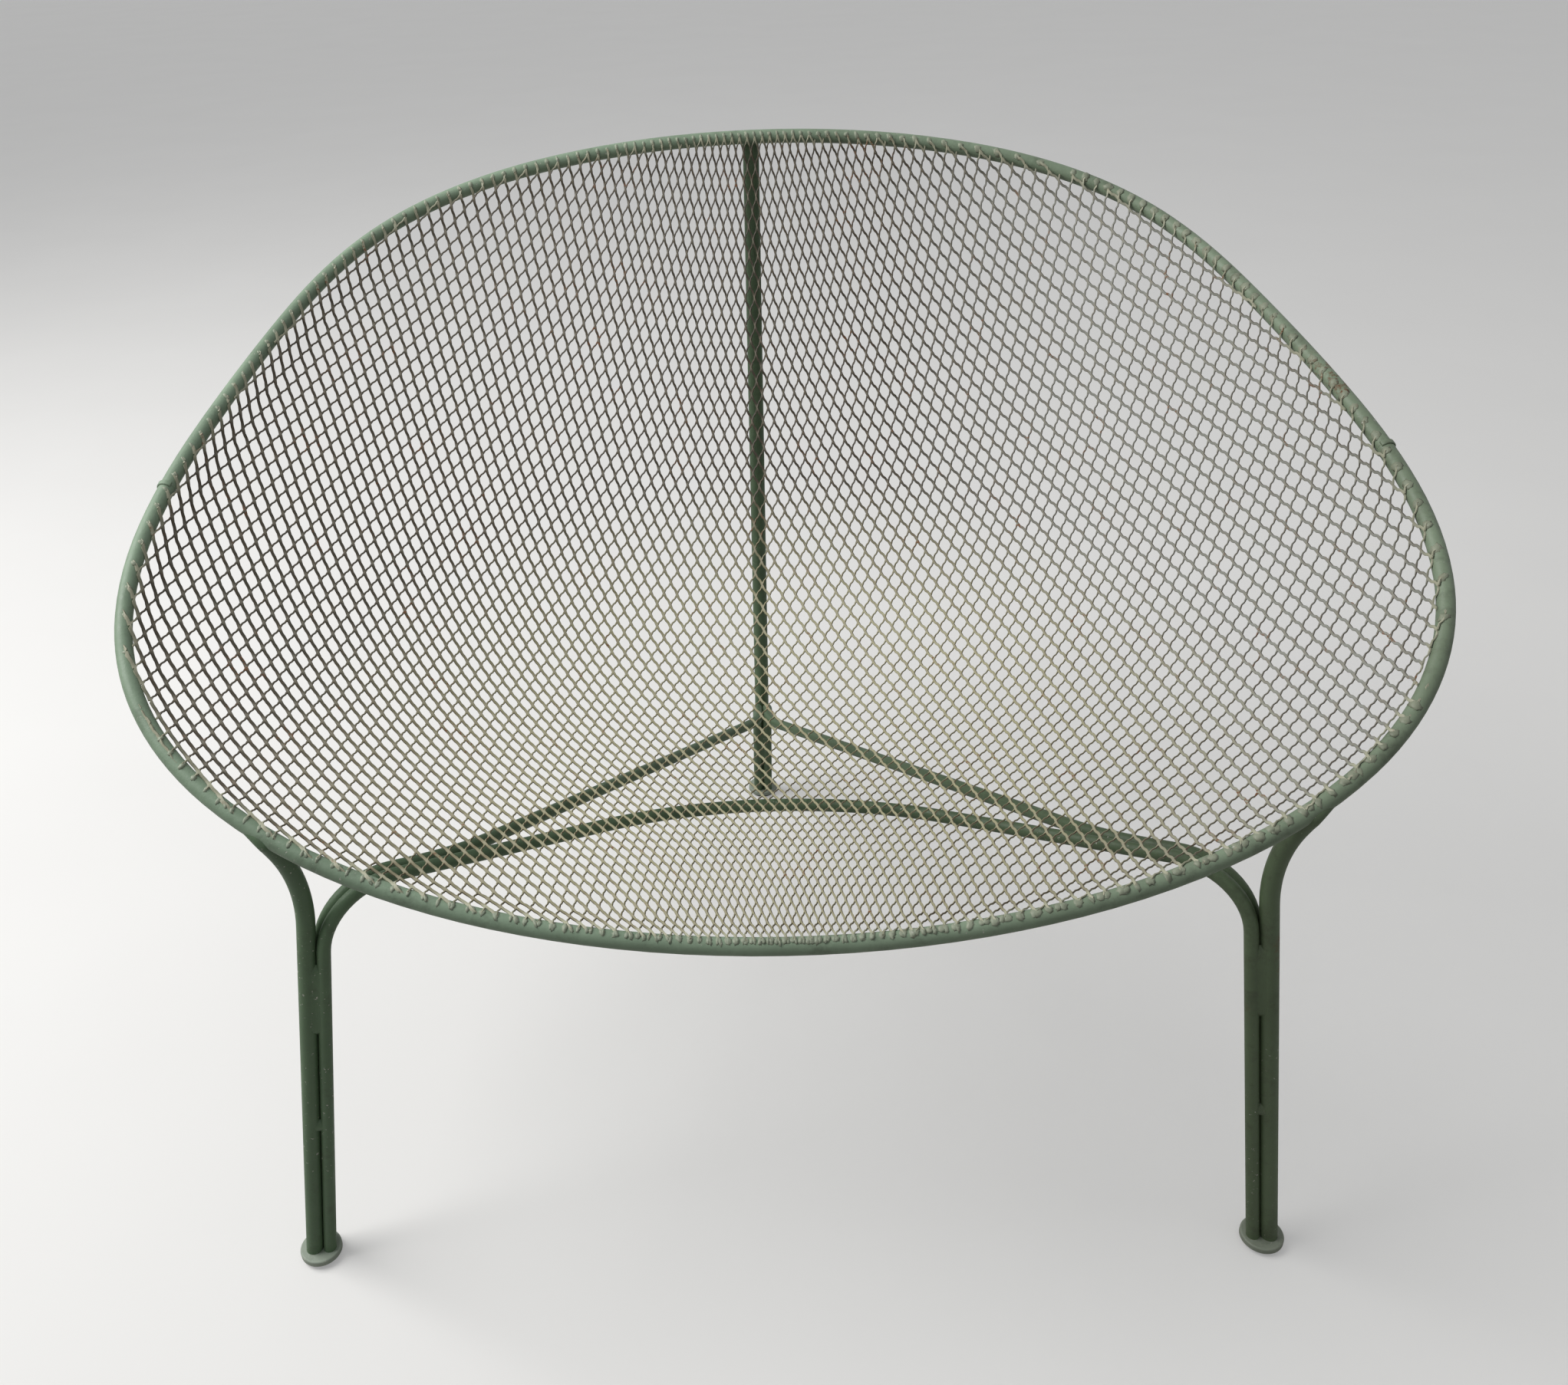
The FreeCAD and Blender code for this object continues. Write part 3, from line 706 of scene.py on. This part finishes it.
chance = np.random.default_rng(7)
bpy.ops.object.select_all(action="DESELECT")
bpy.ops.mesh.primitive_uv_sphere_add(segments=8, ring_count=6, radius=1)
ball = bpy.context.object
ball.name = "strand_end_dabs"
ball_corners = corners_of(ball.data)


def dab_corners(place, run):
    """A lump of weld metal wrapped round the bar at a strand's end, leaning the way the strand runs."""
    k = to_rim(place[None])[0][0]
    angle = rim_angles[k]
    _, up = lap_path(np.array([lap_end(angle) + DAB_BEFORE_END]), rim_angles[k:k + 1])
    out = up[0, 0] * rim_inward[k] + up[0, 1] * rim_normal[k]
    level = np.cross(rim_tangent[k], out)
    lean = DAB_LEAN * (run @ rim_tangent[k]) * np.sign(run @ rim_inward[k]) * np.sign(level @ rim_inward[k])
    turn = math.atan(lean)
    lumps = chance.standard_normal((len(ball_corners), 1)).clip(-LARGEST_LUMP, LARGEST_LUMP)
    lump = ball_corners * (1 + DAB_LUMPS * lumps)
    flat_share = np.clip(FLAT_GAIN * math.sin(angle), 0, 1)
    size = (1 - flat_share) * DAB_RAGGED + flat_share * DAB_FLAT
    lump *= size * chance.uniform(SMALLEST_DAB, LARGEST_DAB, 3)
    round_bar = (lump[:, :1] * math.cos(turn) - lump[:, 1:2] * math.sin(turn)) / RIM_RADIUS
    along_bar = lump[:, :1] * math.sin(turn) + lump[:, 1:2] * math.cos(turn)
    along_bar += (place - rim_points[k]) @ rim_tangent[k]
    reach = RIM_RADIUS + lump[:, 2:]
    middle = rim_points[k] + along_bar * rim_tangent[k]
    return middle + reach * (np.cos(round_bar) * out + np.sin(round_bar) * level)


def join_pieces(pieces, name):
    bpy.ops.object.select_all(action="DESELECT")
    for piece in pieces:
        piece.select_set(True)
    bpy.context.view_layer.objects.active = pieces[0]
    bpy.ops.object.join()
    whole = bpy.context.object
    whole.name = name
    return whole


dabs = []
for place, run in ends:
    dab = ball.copy()
    dab.data = ball.data.copy()
    bpy.context.collection.objects.link(dab)
    dab.data.vertices.foreach_set("co", dab_corners(place, run).ravel())
    dabs.append(dab)
bpy.data.objects.remove(ball)
strand_dabs = join_pieces(dabs, "strand_end_dabs")
bpy.ops.object.shade_smooth()
strand_dabs.data.materials.append(tack_paint)
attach(strand_dabs, "root")
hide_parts("front_tack_welds", "back_tack_welds")


# Under-frame. Three 11 mm stretchers, two 14 mm uprights and a 16 mm spine, bent and welded in bundles
# of three at the legs. The same paint as the rim, painted darker here for the shade the legs stand in under
# the seat.
leg_paint = bar_paint("leg_paint", (0.064, 0.114, 0.057), (0.12, 0.192, 0.103), 0.06, -0.02)
paint_nodes(leg_paint, "front_stretcher", "left_stretcher", "right_stretcher",
            "left_upright", "right_upright", "rear_spine", "spine_weld")


# Leg welds. Where the three bars of a leg lie side by side the grooves between them are filled with weld
# metal: a long fill near the bends and a short one lower down, ground smooth and hollow, and painted over.
FILL_EDGE = math.radians(24)
FILL_TIP = math.radians(72)
FILL_TIP_RUN = 0.008
FILL_HOLLOW = 0.0006
FILL_SUNK = 0.0001
FILL_DEEP = 0.0024
LEG_REACH = 0.12
SOLE_HEIGHT = 0.02
RING_SLACK = 0.0004


def leg_foot(leg):
    return np.array(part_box(leg + "_foot_disc")).mean(0)[:2]


def bar_run(name, foot):
    """Radius of a leg's bar, its middle at the foot, and its direction up to the first bend."""
    spots = corners_of(frame["nodes"][name].data)
    spots = spots[np.linalg.norm(spots[:, :2] - foot, axis=1) < LEG_REACH]
    sole = spots[spots[:, 2] < SOLE_HEIGHT]
    radius = (sole.max(0) - sole.min(0))[:2].min() / 2
    bottom = (sole.max(0) + sole.min(0)) / 2
    spots = spots[spots[:, 2] > SOLE_HEIGHT]
    lowest = spots[spots[:, 2].argmin()]
    lean = math.atan2(np.linalg.norm((lowest - bottom)[:2]), lowest[2] - bottom[2])
    ring = spots[spots[:, 2] < lowest[2] + 2 * radius * math.sin(lean) + RING_SLACK]
    top = (ring.max(0) + ring.min(0)) / 2
    return radius, bottom, (top - bottom) / np.linalg.norm(top - bottom)


def groove_fill(first, second, third, low, high):
    """A hollow strip of weld metal between two bars, on the side away from the third, with rounded ends."""
    bpy.ops.object.select_all(action="DESELECT")
    bpy.ops.mesh.primitive_grid_add(x_subdivisions=8, y_subdivisions=20, size=2)
    fill = bpy.context.object
    across, along, _ = corners_of(fill.data).T
    radius_a, start_a, run = first
    radius_b, start_b, _ = second
    half = (high - low) / 2
    height = (low + high) / 2 + along * half
    middle_a = start_a + ((height - start_a[2]) / run[2])[:, None] * run
    to_b = (start_b - start_a) - ((start_b - start_a) @ run) * run
    apart = np.linalg.norm(to_b)
    to_b /= apart
    out = np.cross(run, to_b)
    out *= np.sign(out @ (start_a + start_b - 2 * third[1]))
    tip = np.clip((np.abs(along) * half - half + FILL_TIP_RUN) / FILL_TIP_RUN, 0, 1) ** 2
    edge = FILL_EDGE + (FILL_TIP - FILL_EDGE) * tip
    left = np.stack([radius_a * np.sin(edge), radius_a * np.cos(edge)], 1)
    right = np.stack([apart - radius_b * np.sin(edge), radius_b * np.cos(edge)], 1)
    share = ((across + 1) / 2)[:, None]
    flat_place = left + share * (right - left)
    flat_place[:, 1] -= FILL_HOLLOW * (1 - tip) * (1 - across ** 2) + FILL_SUNK
    spots = middle_a + flat_place[:, :1] * to_b + flat_place[:, 1:] * out
    fill.data.vertices.foreach_set("co", spots.ravel())
    bpy.ops.object.mode_set(mode="EDIT")
    bpy.ops.mesh.select_all(action="SELECT")
    bpy.ops.mesh.normals_make_consistent(inside=False)
    bpy.ops.object.mode_set(mode="OBJECT")
    if sum((face.normal @ Vector(out)) for face in fill.data.polygons) < 0:
        fill.data.flip_normals()
    apply_modifier(fill, "SOLIDIFY", thickness=FILL_DEEP, offset=-1)
    return fill


for leg, bars in (("left", ("left_upright", "front_stretcher", "left_stretcher")),
                  ("right", ("right_upright", "front_stretcher", "right_stretcher")),
                  ("rear", ("rear_spine", "left_stretcher", "right_stretcher"))):
    runs = [bar_run(bar, leg_foot(leg)) for bar in bars]
    fills = []
    for weld in (leg + "_leg_weld", leg + "_leg_tack"):
        low, high = (corner[2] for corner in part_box(weld))
        for a, b, c in ((0, 1, 2), (0, 2, 1), (1, 2, 0)):
            fills.append(groove_fill(runs[a], runs[b], runs[c], low, high))
    leg_fill = join_pieces(fills, leg + "_leg_fills")
    bpy.ops.object.shade_smooth_by_angle(angle=math.radians(40))
    leg_fill.data.materials.append(leg_paint)
    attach(leg_fill, "root")
    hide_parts(leg + "_leg_weld", leg + "_leg_tack")


# Upright tops. The upper end of each upright is swept out along the underside of the rim, welded there
# and ground until the two bars run into each other. Painted with the legs.
UPRIGHT_ANGLE = math.radians(35.8)
FLARE_DROP = 0.052
END_DROP = 0.004
SET_OUT = 0.001
RUN_OUT = 0.034
BEND_LEAD = 0.005
BELOW_END = 0.4
SLEEVE_LENGTH = 0.02
SLEEVE_TAPER = 0.0008
TOP_PROUD = 0.00015
TOP_TAPER = 0.0014


def rim_at(angle):
    return rim_line(np.array([angle]))[0]


for leg, sign in (("left", -1), ("right", 1)):
    radius, bottom, run = bar_run(leg + "_upright", leg_foot(leg))
    contact = rim_at(sign * UPRIGHT_ANGLE)
    tangent = rim_at(sign * (UPRIGHT_ANGLE + 0.01)) - contact
    outward = np.array([-tangent[1], tangent[0], 0]) * -sign
    outward /= np.linalg.norm(outward)
    knee = bottom + run * ((contact[2] - FLARE_DROP - bottom[2]) / run[2])
    end = contact + SET_OUT * outward - np.array([0, 0, END_DROP])
    way = (end - knee) / np.linalg.norm(end - knee)
    far = rim_at(sign * UPRIGHT_ANGLE + RUN_OUT * sign * np.sign(way @ tangent))
    bpy.ops.object.select_all(action="DESELECT")
    bpy.ops.mesh.primitive_grid_add(x_subdivisions=20, y_subdivisions=16, size=2)
    top = bpy.context.object
    around, along, _ = corners_of(top.data).T
    along = (along * 0.5 + 0.5) * (1 + BELOW_END) - BELOW_END
    bent = np.clip(along, 0, 1)[:, None]
    bend = end + BEND_LEAD * way
    middle = (1 - bent) ** 2 * end + 2 * bent * (1 - bent) * bend + bent ** 2 * far
    middle = middle + np.clip(along, -1, 0)[:, None] * SLEEVE_LENGTH * way
    taper = np.where(along < 0, SLEEVE_TAPER * along, -TOP_TAPER * bent[:, 0] ** 2)
    thick = radius + TOP_PROUD + taper
    heading = way + bent * (far - end) / np.linalg.norm(far - end)
    heading /= np.linalg.norm(heading, axis=1, keepdims=True)
    first = np.cross(heading, outward)
    first /= np.linalg.norm(first, axis=1, keepdims=True)
    second = np.cross(heading, first)
    ring = np.cos(math.pi * around)[:, None] * first + np.sin(math.pi * around)[:, None] * second
    spots = middle + thick[:, None] * ring
    top.data.vertices.foreach_set("co", spots.ravel())
    bpy.ops.object.mode_set(mode="EDIT")
    bpy.ops.mesh.select_all(action="SELECT")
    bpy.ops.mesh.remove_doubles(threshold=1e-6)
    bpy.ops.mesh.fill_holes(sides=0)
    bpy.ops.mesh.select_all(action="SELECT")
    bpy.ops.mesh.normals_make_consistent(inside=False)
    bpy.ops.object.mode_set(mode="OBJECT")
    top.name = leg + "_upright_top"
    bpy.ops.object.shade_smooth_by_angle(angle=math.radians(40))
    top.data.materials.append(leg_paint)
    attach(top, "root")
    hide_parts(leg + "_upright_weld")


# Feet. A turned steel disc is welded under each bundle and painted with the frame; a black nylon glide
# is pressed in below it.
disc_paint = bar_paint("disc_paint", (0.25, 0.295, 0.235), (0.4, 0.45, 0.37), 0.08, 0.06)
paint_nodes(disc_paint, "left_foot_disc", "right_foot_disc", "rear_foot_disc")


def nylon():
    material, shader, start = new_material("glide_nylon")
    dust = start.noise(60, 4, 0.65).above(0.45, 0.75)
    colour = (dust * 0.6).blend((0.018, 0.02, 0.017), (0.085, 0.08, 0.068))
    rough = 0.45 + 0.35 * dust
    grain = start.noise(700, 3).bump(0.3, 0.0003)
    join_up(shader, {"Base Color": colour, "Roughness": rough, "Normal": grain})
    return material


paint_nodes(nylon(), "left_glide", "right_glide", "rear_glide")


# Floor, light and camera. A pale floor, one large soft lamp overhead to the left and even light all round;
# the camera stands in front of the chair, a little left of its middle, and looks down.
FLOOR_BOUNCE = (0.3, 0.28, 0.26)
FLOOR_DARKER = (0.62, 0.61, 0.59)
FLOOR_PALER = (0.66, 0.65, 0.63)
FLOOR_GLOW = (0.25, 0.25, 0.25)
SKY_LIGHT = (0.288, 0.294, 0.3)
BACKDROP = (0.66, 0.665, 0.67)


def ray(start, kind):
    return start.node("ShaderNodeLightPath", {}, {}, "Is %s Ray" % kind)


def in_view(start):
    """1 for what is seen, straight, mirrored or through glass, and 0 for light that bounces on."""
    return (ray(start, "Camera") + ray(start, "Glossy") + ray(start, "Transmission")).above(0.1, 0.9)


bpy.ops.object.select_all(action="DESELECT")
bpy.ops.mesh.primitive_plane_add(size=60)
floor = bpy.context.object
floor.name = "floor"
floor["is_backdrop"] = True
floor_material, floor_shader, start = new_material("floor_pale")
floor_shader.inputs["Roughness"].default_value = 0.85
floor_shader.inputs["Specular IOR Level"].default_value = 0.2
tone = start.noise(3, 3).blend(FLOOR_DARKER, FLOOR_PALER)
join_up(floor_shader, {"Base Color": in_view(start).blend(FLOOR_BOUNCE, tone),
                       "Emission Color": ray(start, "Camera").blend((0, 0, 0), FLOOR_GLOW)})
floor_shader.inputs["Emission Strength"].default_value = 1
floor.data.materials.append(floor_material)

world = bpy.data.worlds.new("studio")
bpy.context.scene.world = world
world.use_nodes = True
backdrop = in_view(Value(world.node_tree)).blend(SKY_LIGHT, BACKDROP)
world.node_tree.links.new(backdrop.socket, world.node_tree.nodes["Background"].inputs["Color"])


def soft_lamp(name, place, aim, size, power):
    light = bpy.data.lights.new(name, "AREA")
    light.size = size
    light.energy = power
    lamp = bpy.data.objects.new(name, light)
    bpy.context.scene.collection.objects.link(lamp)
    lamp.location = place
    lamp.rotation_euler = (Vector(aim) - Vector(place)).to_track_quat("-Z", "Y").to_euler()


soft_lamp("key_lamp", (-2.2, 0.1, 2.7), (0, 0, 0.3), 2.2, 95)

CAMERA_PITCH = math.radians(31.91)
CAMERA_ROLL = -0.0495
CAMERA_YAW = -0.0411
CAMERA_PLACE = Vector((-0.0273, -0.7061 - SET_FORWARD, 1.0257))
SENSOR_WIDTH = 36
PHOTO_WIDTH = 2044
LENS_PIXELS = 1800
MIDDLE_PIXEL = 900
forward = Vector((math.sin(CAMERA_YAW) * math.cos(CAMERA_PITCH),
                  math.cos(CAMERA_YAW) * math.cos(CAMERA_PITCH),
                  -math.sin(CAMERA_PITCH)))
level_right = Vector((math.cos(CAMERA_YAW), -math.sin(CAMERA_YAW), 0))
level_up = level_right.cross(forward)
right = math.cos(CAMERA_ROLL) * level_right + math.sin(CAMERA_ROLL) * level_up
upward = math.cos(CAMERA_ROLL) * level_up - math.sin(CAMERA_ROLL) * level_right
lens = bpy.data.cameras.new("camera")
lens.sensor_width = SENSOR_WIDTH
lens.sensor_fit = "HORIZONTAL"
lens.lens = SENSOR_WIDTH * LENS_PIXELS / PHOTO_WIDTH
lens.shift_x = (PHOTO_WIDTH / 2 - MIDDLE_PIXEL) / PHOTO_WIDTH
camera = bpy.data.objects.new("camera", lens)
bpy.context.scene.collection.objects.link(camera)
turned = Matrix((right, upward, -forward)).transposed().to_4x4()
turned.translation = CAMERA_PLACE
camera.matrix_world = turned
bpy.context.scene.camera = camera
bpy.context.scene.view_settings.view_transform = "Standard"

low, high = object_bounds()
